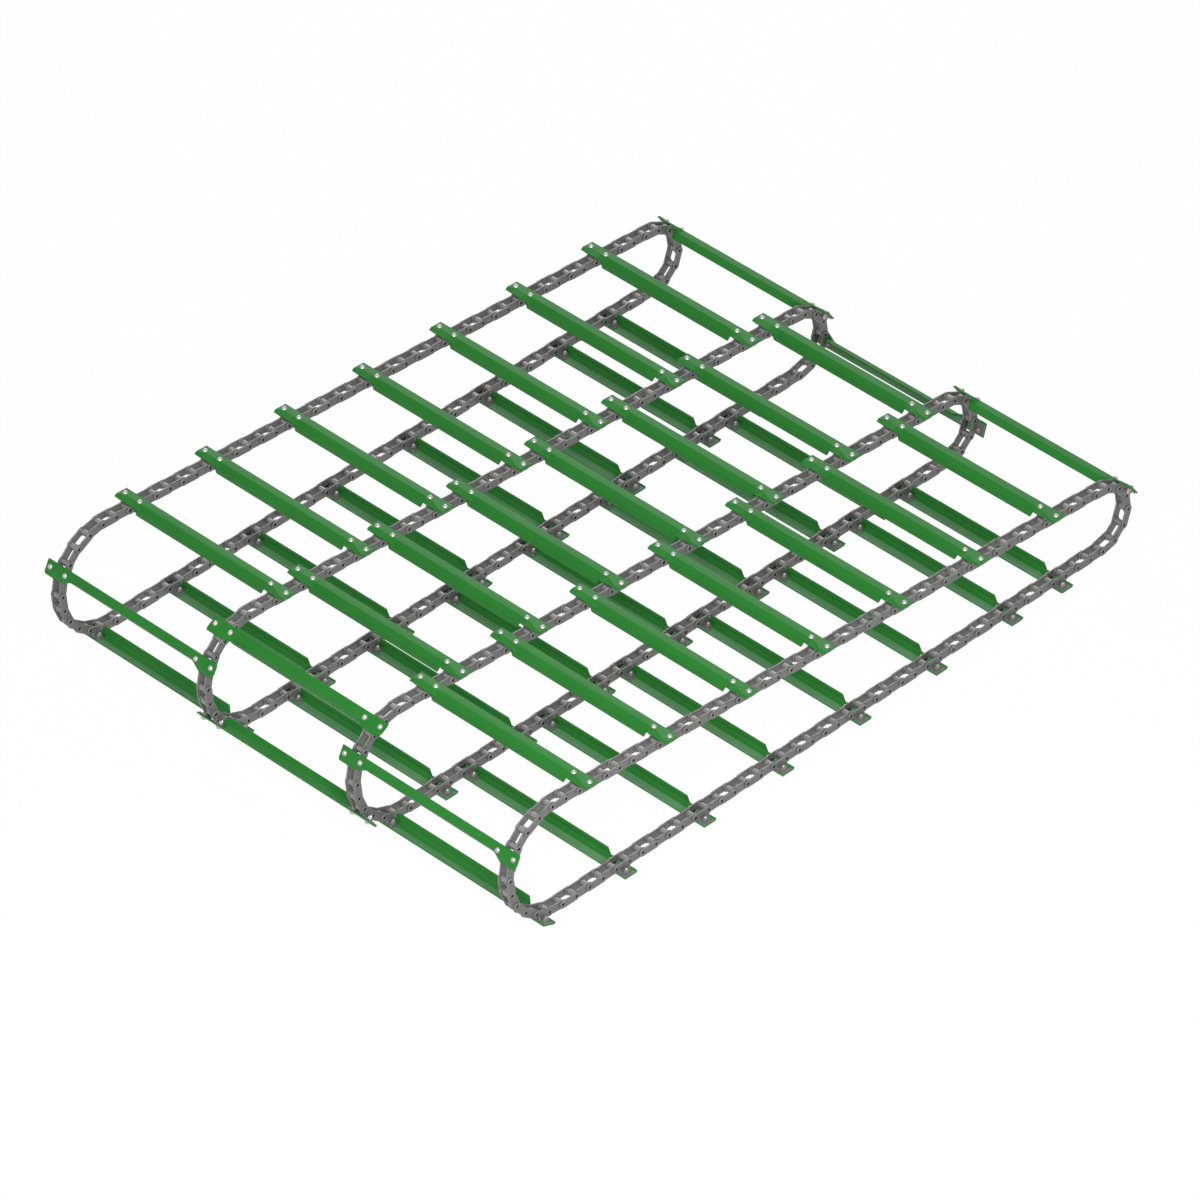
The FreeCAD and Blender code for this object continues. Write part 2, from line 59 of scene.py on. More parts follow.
Mesh = bmesh.types.BMesh
Item = bpy.types.Object
Tree = bpy.types.NodeTree
Node = bpy.types.Node
Key = str | int
Flat = tuple[float, float]
Colour = tuple[float, float, float]
Place = tuple[float, float, float]


class Axis(Enum):
    """The line that a turned form is turned about."""

    ACROSS = "across"
    OUTWARDS = "outwards"


class Hand(Enum):
    """The side of a strand that a bent lug points to."""

    FAR = 1
    NEAR = -1


class Look(Enum):
    """The looks of the chain's pieces."""

    PLATE = "link_plate_steel"
    ROLLER = "roller_steel"
    PIN = "pin_black"
    PAINT = "slat_green_paint"
    BOLT = "bolt_zinc"
    NUT = "nut_steel"


@dataclass(frozen=True)
class Spot:
    """A place on the loop: where a copy stands and how far it is turned about the Y axis."""

    x: float
    y: float
    z: float
    turn: float


# ---------------------------------------------------------------- meshes


def inset(points: Sequence[Flat], depth: float) -> list[Flat]:
    """Moves a closed outline towards its left-hand side.

    Args:
        points: the outline's corners, in order.
        depth: how far each edge moves.

    Returns:
        The corners of the moved outline.
    """
    moved = []
    for index, (x, y) in enumerate(points):
        before = points[index - 1]
        after = points[(index + 1) % len(points)]
        first = Vector((x - before[0], y - before[1])).normalized()
        second = Vector((after[0] - x, after[1] - y)).normalized()
        scale = depth / (1 + first.dot(second))
        moved.append((x - (first.y + second.y) * scale, y + (first.x + second.x) * scale))
    return moved


def arc(centre: Flat, radius: float, start: float, stop: float, steps: int) -> list[Flat]:
    """Points along a round corner.

    Args:
        centre: the middle of the round.
        radius: its radius.
        start: the first angle in degrees.
        stop: the last angle in degrees.
        steps: the number of straight pieces.

    Returns:
        The points, first and last included.
    """
    spots = []
    for step in range(steps + 1):
        angle = math.radians(start + (stop - start) * step / steps)
        x, y = radius * math.cos(angle), radius * math.sin(angle)
        spots.append((centre[0] + x, centre[1] + y))
    return spots


def eased(before: Flat, corner: Flat, after: Flat, reach: float) -> list[Flat]:
    """A corner with a small round in place of its point, crowned at its middle.

    Args:
        before: the corner before it.
        corner: the corner itself.
        after: the corner after it.
        reach: how far the round runs along both sides.

    Returns:
        The three points of the round.
    """
    middle = Vector(corner)
    first = middle + (Vector(before) - middle).normalized() * reach
    last = middle + (Vector(after) - middle).normalized() * reach
    crown = middle * 0.5 + (first + last) * 0.25
    return [(spot.x, spot.y) for spot in (first, crown, last)]


def along(path: Sequence[Flat], place: float) -> float:
    """Reads a broken line at one place.

    Args:
        path: pairs of place and value, from the highest place to the lowest.
        place: where to read it.

    Returns:
        The value there.
    """
    for (first, start), (last, stop) in zip(path, path[1:]):
        if place >= last:
            return start + (stop - start) * (first - place) / (first - last)
    return path[-1][1]


def bridge(mesh: Mesh, first: list, second: list) -> None:
    """Joins two closed rings of vertices with faces.

    Args:
        mesh: the mesh that holds both rings.
        first: the vertices of one ring.
        second: the matching vertices of the other.
    """
    for index in range(len(first)):
        after = (index + 1) % len(first)
        mesh.faces.new((first[index], first[after], second[after], second[index]))


def prism(
    loops: Sequence[Sequence[Flat]],
    low: float,
    high: float,
    chamfer: float,
    place: Callable[[float, float, float], Vector],
) -> Mesh:
    """A flat form with holes, its rims broken by a small chamfer.

    Args:
        loops: the outline, and its holes in the other direction.
        low: the level of one face.
        high: the level of the other face.
        chamfer: the width of the broken rims.
        place: gives the point in space for two flat coordinates and a level.

    Returns:
        The closed mesh.
    """
    mesh = bmesh.new()
    levels = ((low, chamfer), (low + chamfer, 0.0), (high - chamfer, 0.0), (high, chamfer))
    caps: tuple[list, list] = ([], [])
    for loop in loops:
        rings = []
        for level, depth in levels:
            flat = inset(loop, depth) if depth else loop
            rings.append([mesh.verts.new(place(a, b, level)) for a, b in flat])
        for lower, upper in zip(rings, rings[1:]):
            bridge(mesh, lower, upper)
        for cap, ring in zip(caps, (rings[0], rings[-1])):
            for index, vertex in enumerate(ring):
                cap.append(mesh.edges.get((ring[index - 1], vertex)))
    for cap in caps:
        bmesh.ops.triangle_fill(mesh, use_beauty=True, use_dissolve=False, edges=cap)
    return mesh


def turned(profile: Sequence[Flat], steps: int, axis: Axis, hollow: bool) -> Mesh:
    """A form turned from a profile of radius and length.

    Args:
        profile: pairs of radius and place along the axis.
        steps: the number of sides.
        axis: the line that it is turned about.
        hollow: True for a closed profile with a bore, False for a bar with flat ends.

    Returns:
        The closed mesh.
    """
    mesh = bmesh.new()
    rings = []
    for radius, level in profile:
        ring = []
        for step in range(steps):
            angle = 2 * math.pi * step / steps
            side, rise = radius * math.cos(angle), radius * math.sin(angle)
            spot = (side, level, rise) if axis is Axis.ACROSS else (side, rise, level)
            ring.append(mesh.verts.new(spot))
        rings.append(ring)
    for lower, upper in zip(rings, rings[1:]):
        bridge(mesh, lower, upper)
    if hollow:
        bridge(mesh, rings[-1], rings[0])
    else:
        mesh.faces.new(rings[0])
        mesh.faces.new(rings[-1])
    return mesh


def lofted(sections: Sequence[Sequence[Vector]]) -> Mesh:
    """A closed form through matching sections, flat at both ends.

    Args:
        sections: the corners of each section, in order.

    Returns:
        The closed mesh.
    """
    mesh = bmesh.new()
    rings = [[mesh.verts.new(spot) for spot in section] for section in sections]
    for lower, upper in zip(rings, rings[1:]):
        bridge(mesh, lower, upper)
    mesh.faces.new(rings[0])
    mesh.faces.new(rings[-1])
    return mesh


def shown(name: str, data: bpy.types.ID) -> Item:
    """Makes an object of a mesh, a lamp or a camera and puts it in the scene.

    Args:
        name: the object's name.
        data: what it shows.

    Returns:
        The object.
    """
    item = bpy.data.objects.new(name, data)
    bpy.context.scene.collection.objects.link(item)
    return item


def form(
    name: str,
    shells: Iterable[Mesh],
    coat: Callable[[Vector, Vector], Colour] | None = None,
    sharp: float = 35.0,
) -> Item:
    """Gathers closed shells into one object, faces outwards and rounds shaded smooth.

    Args:
        name: the object's name.
        shells: the closed meshes.
        coat: gives the painted light and shade that a face adds to its finish's colour, from its
            centre and its normal.
        sharp: the angle in degrees past which an edge stays crisp.

    Returns:
        The object, in the scene.
    """
    whole = bmesh.new()
    for shell in shells:
        bmesh.ops.recalc_face_normals(shell, faces=shell.faces[:])
        part = bpy.data.meshes.new("shell")
        shell.to_mesh(part)
        shell.free()
        whole.from_mesh(part)
        bpy.data.meshes.remove(part)
    mesh = bpy.data.meshes.new(name)
    whole.to_mesh(mesh)
    whole.free()
    mesh.shade_smooth()
    mesh.set_sharp_from_angle(angle=math.radians(sharp))
    # Each face's painted light and shade is kept as a colour attribute.
    if coat:
        tints = mesh.attributes.new("coat", "FLOAT_COLOR", "FACE")
        for face in mesh.polygons:
            tints.data[face.index].color = (*coat(face.center, face.normal), 1.0)
    return shown(name, mesh)


# ---------------------------------------------------------------- finishes


class Sort(Enum):
    """The types of socket that the groups use."""

    COLOUR = "NodeSocketColor"
    NUMBER = "NodeSocketFloat"
    COUNT = "NodeSocketInt"
    SHAPE = "NodeSocketGeometry"
    OBJECT = "NodeSocketObject"
    MATERIAL = "NodeSocketMaterial"


def new_group(
    name: str, kind: str, inputs: dict[str, Sort], outputs: dict[str, Sort]
) -> tuple[Tree, Node, Node]:
    """Starts a node group with named sockets.

    Args:
        name: the group's name.
        kind: the type of its tree.
        inputs: the type of each input, by its name.
        outputs: the type of each output, by its name.

    Returns:
        The group's tree, and the nodes for its inputs and its outputs.
    """
    tree = bpy.data.node_groups.new(name, kind)
    for way, sockets in (("INPUT", inputs), ("OUTPUT", outputs)):
        for label, sort in sockets.items():
            tree.interface.new_socket(name=label, socket_type=sort.value, in_out=way)
    return tree, node(tree, "NodeGroupInput"), node(tree, "NodeGroupOutput")


def node(
    tree: Tree,
    kind: str,
    inputs: dict[Key, object] | None = None,
    **settings: object,
) -> Node:
    """Adds one node to a tree.

    Args:
        tree: the tree.
        kind: the node's type.
        inputs: the values of its input sockets, by name or by place.
        settings: its other settings, by name.

    Returns:
        The node.
    """
    item = tree.nodes.new(kind)
    for name, value in settings.items():
        setattr(item, name, value)
    for key, value in (inputs or {}).items():
        item.inputs[key].default_value = value
    return item


def wire(tree: Tree, *links: tuple[Node, Key, Node, Key]) -> None:
    """Links sockets of a tree.

    Args:
        tree: the tree.
        links: a node and its output, then the node and the input that it feeds.
    """
    for source, output, target, entry in links:
        tree.links.new(source.outputs[output], target.inputs[entry])


class Effects:
    """Shader groups that several finishes share."""

    def __init__(self) -> None:
        """Builds each group once."""
        self.mottle = self.make_mottle()
        self.grain = self.make_grain()
        self.wear = self.make_wear()

    @staticmethod
    def make_mottle() -> Tree:
        """Slow patches of a second colour, a shade for each copy and the painted light and shade
        added to each face.

        Returns:
            The group, with Colour as its output.
        """
        tree, given, result = new_group(
            "surface_mottle",
            "ShaderNodeTree",
            {
                "Main": Sort.COLOUR,
                "Other": Sort.COLOUR,
                "Patches": Sort.NUMBER,
                "Copies": Sort.NUMBER,
            },
            {"Colour": Sort.COLOUR},
        )
        place = node(tree, "ShaderNodeTexCoord")
        noise = node(tree, "ShaderNodeTexNoise", {"Detail": 5.0})
        spread = node(tree, "ShaderNodeMapRange", {"From Min": 0.32, "From Max": 0.68})
        copies = node(tree, "ShaderNodeAttribute", attribute_name="shade")
        blend = node(tree, "ShaderNodeMix", data_type="FLOAT")
        mix = node(tree, "ShaderNodeMix", data_type="RGBA")
        # Adds each face's painted light and shade to the colour.
        coat = node(tree, "ShaderNodeAttribute", attribute_name="coat")
        whole = node(tree, "ShaderNodeMix", {0: 1.0}, data_type="RGBA", blend_type="ADD")
        wire(
            tree,
            (place, "Object", noise, "Vector"),
            (given, "Patches", noise, "Scale"),
            (noise, "Fac", spread, "Value"),
            (given, "Copies", blend, 0),
            (spread, "Result", blend, 2),
            (copies, "Fac", blend, 3),
            (blend, 0, mix, 0),
            (given, "Main", mix, 6),
            (given, "Other", mix, 7),
            (mix, 2, whole, 6),
            (coat, "Color", whole, 7),
            (whole, 2, result, "Colour"),
        )
        return tree

    @staticmethod
    def make_grain() -> Tree:
        """Fine grain for bumps and for gloss that is not quite even.

        Returns:
            The group, with Height and Gloss as its outputs.
        """
        tree, given, result = new_group(
            "fine_grain",
            "ShaderNodeTree",
            {"Fineness": Sort.NUMBER, "Dull": Sort.NUMBER, "Bright": Sort.NUMBER},
            {"Height": Sort.NUMBER, "Gloss": Sort.NUMBER},
        )
        place = node(tree, "ShaderNodeTexCoord")
        noise = node(tree, "ShaderNodeTexNoise", {"Detail": 3.0})
        ease = node(tree, "ShaderNodeMapRange", {"From Min": 0.3, "From Max": 0.7})
        wire(
            tree,
            (place, "Object", noise, "Vector"),
            (given, "Fineness", noise, "Scale"),
            (noise, "Fac", ease, "Value"),
            (given, "Bright", ease, "To Min"),
            (given, "Dull", ease, "To Max"),
            (noise, "Fac", result, "Height"),
            (ease, "Result", result, "Gloss"),
        )
        return tree

    @staticmethod
    def make_wear() -> Tree:
        """Edges rubbed to another colour, broken up by noise.

        Returns:
            The group, with Colour as its output.
        """
        tree, given, result = new_group(
            "edge_wear",
            "ShaderNodeTree",
            {
                "Surface": Sort.COLOUR,
                "Rubbed": Sort.COLOUR,
                "Reach": Sort.NUMBER,
                "Amount": Sort.NUMBER,
            },
            {"Colour": Sort.COLOUR},
        )
        place = node(tree, "ShaderNodeTexCoord")
        noise = node(tree, "ShaderNodeTexNoise", {"Scale": 90.0, "Detail": 4.0})
        soft = node(tree, "ShaderNodeBevel", samples=4)
        facts = node(tree, "ShaderNodeNewGeometry")
        align = node(tree, "ShaderNodeVectorMath", operation="DOT_PRODUCT")
        edge = node(tree, "ShaderNodeMapRange", {"From Min": 0.995, "From Max": 0.9})
        broken = node(tree, "ShaderNodeMapRange", {"From Min": 0.35, "From Max": 0.6})
        times = node(tree, "ShaderNodeMath", operation="MULTIPLY")
        share = node(tree, "ShaderNodeMath", operation="MULTIPLY")
        mix = node(tree, "ShaderNodeMix", data_type="RGBA")
        wire(
            tree,
            (given, "Reach", soft, "Radius"),
            (soft, "Normal", align, 0),
            (facts, "Normal", align, 1),
            (align, "Value", edge, "Value"),
            (place, "Object", noise, "Vector"),
            (noise, "Fac", broken, "Value"),
            (edge, "Result", times, 0),
            (broken, "Result", times, 1),
            (times, 0, share, 0),
            (given, "Amount", share, 1),
            (share, 0, mix, 0),
            (given, "Surface", mix, 6),
            (given, "Rubbed", mix, 7),
            (mix, 2, result, "Colour"),
        )
        return tree


@dataclass(frozen=True)
class Finish:
    """One surface finish with its colours and gloss, for a slot of the part's record."""

    slot: str
    main: Colour
    other: Colour
    rubbed: Colour
    metal: float
    dull: float
    bright: float
    fineness: float
    bump: float
    wear_reach: float
    wear_amount: float
    patches: float = 60.0
    copies: float = 0.5
    bump_depth: float = 0.0002
    specular: float = 0.5

    def material(self, name: str, effects: Effects) -> bpy.types.Material:
        """Builds the material from the shared effects.

        Args:
            name: the material's name.
            effects: the shader groups.

        Returns:
            The material.
        """
        made = bpy.data.materials.new(name)
        made.use_nodes = True
        tree = made.node_tree
        shader = tree.nodes["Principled BSDF"]
        shader.inputs["Metallic"].default_value = self.metal
        shader.inputs["Specular IOR Level"].default_value = self.specular
        patches = {
            "Main": (*self.main, 1.0),
            "Other": (*self.other, 1.0),
            "Patches": self.patches,
            "Copies": self.copies,
        }
        gloss = {"Fineness": self.fineness, "Dull": self.dull, "Bright": self.bright}
        rubbing = {
            "Rubbed": (*self.rubbed, 1.0),
            "Reach": self.wear_reach,
            "Amount": self.wear_amount,
        }
        relief = {"Strength": self.bump, "Distance": self.bump_depth}
        mottle = node(tree, "ShaderNodeGroup", patches, node_tree=effects.mottle)
        grain = node(tree, "ShaderNodeGroup", gloss, node_tree=effects.grain)
        wear = node(tree, "ShaderNodeGroup", rubbing, node_tree=effects.wear)
        bump = node(tree, "ShaderNodeBump", relief)
        wire(
            tree,
            (mottle, "Colour", wear, "Surface"),
            (wear, "Colour", shader, "Base Color"),
            (grain, "Gloss", shader, "Roughness"),
            (grain, "Height", bump, "Height"),
            (bump, "Normal", shader, "Normal"),
        )
        return made


FINISHES = {
    Look.PAINT: Finish(
        slot="slat_paint", main=(0.019, 0.194, 0.024), other=(0.016, 0.169, 0.021),
        rubbed=(0.06, 0.27, 0.07), metal=0.0, dull=0.46, bright=0.36, patches=9.0, copies=0.35,
        fineness=260.0, bump=0.12, bump_depth=0.0004, wear_reach=0.0012, wear_amount=0.45,
        specular=0.17,
    ),
    # Its rubbed colour lightens the plate rims both as wear and as a painted highlight along them.
    Look.PLATE: Finish(
        slot="plate_steel", main=(0.182, 0.180, 0.177), other=(0.152, 0.150, 0.147),
        rubbed=(0.62, 0.60, 0.58), metal=0.3, dull=0.52, bright=0.40, patches=34.0, copies=0.4,
        fineness=520.0, bump=0.10, wear_reach=0.0009, wear_amount=0.8, specular=0.34,
    ),
    Look.ROLLER: Finish(
        slot="roller_steel", main=(0.27, 0.265, 0.26), other=(0.22, 0.216, 0.21),
        rubbed=(0.55, 0.54, 0.53), metal=0.35, dull=0.42, bright=0.30, patches=40.0, copies=0.4,
        fineness=600.0, bump=0.06, wear_reach=0.0008, wear_amount=0.6,
    ),
    # Near black with little gloss: dark steel, its flat ends also painted shade in place of hollows
    # at the pin ends.
    Look.PIN: Finish(
        slot="pin_steel", main=(0.003, 0.003, 0.003), other=(0.005, 0.005, 0.005),
        rubbed=(0.02, 0.02, 0.02), metal=0.0, dull=0.8, bright=0.65, fineness=500.0, bump=0.1,
        wear_reach=0.0006, wear_amount=0.3, specular=0.08,
    ),
    Look.BOLT: Finish(
        slot="bolt_zinc", main=(0.48, 0.48, 0.46), other=(0.42, 0.42, 0.405),
        rubbed=(0.64, 0.64, 0.62), metal=0.7, dull=0.36, bright=0.24, fineness=700.0, bump=0.06,
        wear_reach=0.0006, wear_amount=0.5,
    ),
    Look.NUT: Finish(
        slot="bolt_zinc", main=(0.24, 0.24, 0.23), other=(0.19, 0.19, 0.185),
        rubbed=(0.60, 0.60, 0.58), metal=0.4, dull=0.46, bright=0.34, fineness=600.0, bump=0.08,
        wear_reach=0.0008, wear_amount=0.8,
    ),
}


# ---------------------------------------------------------------- the loop


@dataclass
class Loop:
    """The closed path of the pins round the tail drum and the head sprockets, lower run level."""

    pitch: float = PITCH
    tail_radius: float = 0.1458
    head_radius: float = 0.0866
    first_run: float = 0.0226
    count: int = 102
    start_joint: str = "section_1_fold"
    halvings: int = 60
    span_margin: float = 3 * PITCH
    least_step: float = 0.9 * PITCH
    most_step: float = 1.25 * PITCH
    rows: list[Flat] = field(default_factory=list)

    def __post_init__(self) -> None:
        """Finds the distance between the circles that closes the chain, then its pin rows."""
        rounds = math.pi * (self.tail_radius + self.head_radius)
        straight = (self.count * self.pitch - rounds) / 2
        span = self.halve(
            lambda trial: self.walk(trial)[1] > 0,
            straight - self.span_margin,
            straight + self.span_margin,
        )
        spots = self.walk(span)[0][: self.count]
        places = {joint["name"]: joint["pos_m"] for joint in frame["joints"]}
        start = places[self.start_joint]
        step = (start[0] - spots[0][0], start[2] - spots[0][1])
        self.rows = [(x + step[0], z + step[1]) for x, z in spots]

    def halve(self, rises: Callable[[float], bool], low: float, high: float) -> float:
        """Closes in on a value by halving.

        Args:
            rises: says whether the value lies above a trial.
            low: the lowest value.
            high: the highest value.

        Returns:
            The value.
        """
        for _ in range(self.halvings):
            middle = (low + high) / 2
            low, high = (middle, high) if rises(middle) else (low, middle)
        return (low + high) / 2

    def lengths(self, span: float) -> tuple[float, float, float, float]:
        """The pieces that the path is made of.

        Args:
            span: the distance between the two circles.

        Returns:
            The slope of the upper run, and the lengths of a side and of the head and tail rounds.
        """
        slope = math.asin((self.tail_radius - self.head_radius) / span)
        side = span * math.cos(slope)
        head = self.head_radius * (math.pi - 2 * slope)
        tail = self.tail_radius * (math.pi + 2 * slope)
        return slope, side, head, tail

    def point(self, run: float, span: float) -> Flat:
        """The point after a run along the path, from the tail end of the upper side.

        Args:
            run: the distance along the path.
            span: the distance between the two circles.

        Returns:
            The point, with the lower run level.
        """
        slope, side, head, tail = self.lengths(span)
        run = run % (2 * side + head + tail)
        if run < side:
            x = self.tail_radius * math.sin(slope) + run * math.cos(slope)
            z = self.tail_radius * math.cos(slope) - run * math.sin(slope)
        elif run < side + head:
            angle = math.pi / 2 - slope - (run - side) / self.head_radius
            x = span + self.head_radius * math.cos(angle)
            z = self.head_radius * math.sin(angle)
        elif run < 2 * side + head:
            back = run - side - head
            x = span + self.head_radius * math.sin(slope) - back * math.cos(slope)
            z = -self.head_radius * math.cos(slope) - back * math.sin(slope)
        else:
            angle = slope - math.pi / 2 - (run - 2 * side - head) / self.tail_radius
            x = self.tail_radius * math.cos(angle)
            z = self.tail_radius * math.sin(angle)
        level_x = x * math.cos(slope) + z * math.sin(slope)
        level_z = z * math.cos(slope) - x * math.sin(slope)
        return level_x, level_z

    def walk(self, span: float) -> tuple[list[Flat], float]:
        """Steps one pitch at a time round the path.

        Args:
            span: the distance between the two circles.

        Returns:
            The points, and the run left over after the last step.
        """
        _, side, head, tail = self.lengths(span)
        length = 2 * side + head + tail
        run = self.first_run
        spots = [self.point(run, span)]
        for _ in range(self.count):
            last = spots[-1]
            run = self.halve(
                lambda trial: math.dist(self.point(trial, span), last) < self.pitch,
                run + self.least_step,
                run + self.most_step,
            )
            spots.append(self.point(run, span))
        return spots, run - self.first_run - length

    def link(self, row: int, across: float, lead: float = 0.0) -> Spot:
        """The place of the link that starts at a pin row.

        Args:
            row: the pin row.
            across: the distance across the strands.
            lead: a step along the link from its middle.

        Returns:
            The place and its turn.
        """
        start, stop = self.rows[row % self.count], self.rows[(row + 1) % self.count]
        angle = math.atan2(stop[1] - start[1], stop[0] - start[0])
        x = (start[0] + stop[0]) / 2 + lead * math.cos(angle)
        z = (start[1] + stop[1]) / 2 + lead * math.sin(angle)
        return Spot(x, across, z, -angle)


class Layout:
    """Sets copies of a form on marked points and dresses the result for one body."""

    def __init__(self, effects: Effects) -> None:
        """Builds the tree and the materials once.

        Args:
            effects: the shader groups of the finishes.
        """
        self.tree = self.make_tree()
        self.materials = {
            look: finish.material(look.value, effects) for look, finish in FINISHES.items()
        }
        self.seed = 0

    @staticmethod
    def make_tree() -> Tree:
        """The tree that puts one copy of a form on each point, turned as the point says.

        Returns:
            The tree, with Form, Finish and Seed as its inputs.
        """
        tree, given, result = new_group(
            "copies_along_the_loop",
            "GeometryNodeTree",
            {
                "Geometry": Sort.SHAPE,
                "Form": Sort.OBJECT,
                "Finish": Sort.MATERIAL,
                "Seed": Sort.COUNT,
            },
            {"Geometry": Sort.SHAPE},
        )
        source = node(tree, "GeometryNodeObjectInfo")
        turn = node(tree, "GeometryNodeInputNamedAttribute", {"Name": "turn"}, data_type="FLOAT")
        angles = node(tree, "ShaderNodeCombineXYZ")
        rotation = node(tree, "FunctionNodeEulerToRotation")
        copies = node(tree, "GeometryNodeInstanceOnPoints")
        chance = node(tree, "FunctionNodeRandomValue", data_type="FLOAT")
        shade = node(
            tree,
            "GeometryNodeStoreNamedAttribute",
            {"Name": "shade"},
            data_type="FLOAT",
            domain="INSTANCE",
        )
        real = node(tree, "GeometryNodeRealizeInstances")
        dress = node(tree, "GeometryNodeSetMaterial")
        wire(
            tree,
            (given, "Form", source, "Object"),
            (turn, "Attribute", angles, "Y"),
            (angles, "Vector", rotation, "Euler"),
            (given, "Geometry", copies, "Points"),
            (source, "Geometry", copies, "Instance"),
            (rotation, "Rotation", copies, "Rotation"),
            (given, "Seed", chance, "Seed"),
            (copies, "Instances", shade, "Geometry"),
            (chance, 1, shade, "Value"),
            (shade, "Geometry", real, "Geometry"),
            (real, "Geometry", dress, "Geometry"),
            (given, "Finish", dress, "Material"),
            (dress, "Geometry", result, "Geometry"),
        )
        return tree

    def lay(
        self,
        name: str,
        shape: Item,
        spots: Sequence[Spot],
        look: Look,
        body: str,
        nodes: Sequence[str],
    ) -> None:
        """Makes one piece out of copies of a form.

        Args:
            name: the piece's name.
            shape: the form.
            spots: where the copies stand.
            look: the finish.
            body: the body that the piece moves with.
            nodes: the solids that it stands for.
        """
        mesh = bpy.data.meshes.new(f"{name}_spots")
        mesh.from_pydata([(spot.x, spot.y, spot.z) for spot in spots], [], [])
        turns = mesh.attributes.new("turn", "FLOAT", "POINT")
        for index, spot in enumerate(spots):
            turns.data[index].value = spot.turn
        piece = shown(name, mesh)
        self.seed += 1
        step = piece.modifiers.new("copies", "NODES")
        step.node_group = self.tree
        values = {"Form": shape, "Finish": self.materials[look], "Seed": self.seed}
        for item in self.tree.interface.items_tree:
            if item.in_out == "INPUT" and item.name in values:
                step[item.identifier] = values[item.name]
        graph = bpy.context.evaluated_depsgraph_get()
        made = bpy.data.meshes.new_from_object(
            piece.evaluated_get(graph), preserve_all_data_layers=True, depsgraph=graph
        )
        piece.modifiers.clear()
        piece.data = made
        made.name = name
        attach(piece, body)
        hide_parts(*nodes)
        LOG.info("%s: %d copies, %d faces, on %s", name, len(spots), len(made.polygons), body)

    def dress(self, node: str, look: Look) -> None:
        """Gives a solid that is shown as it is its finish.

        Args:
            node: the solid's name.
            look: the finish.
        """
        item = frame["nodes"][node]
        item.data.materials.clear()
        item.data.materials.append(self.materials[look])
        LOG.info("%s: the solid itself", node)


# ---------------------------------------------------------------- sub-assemblies


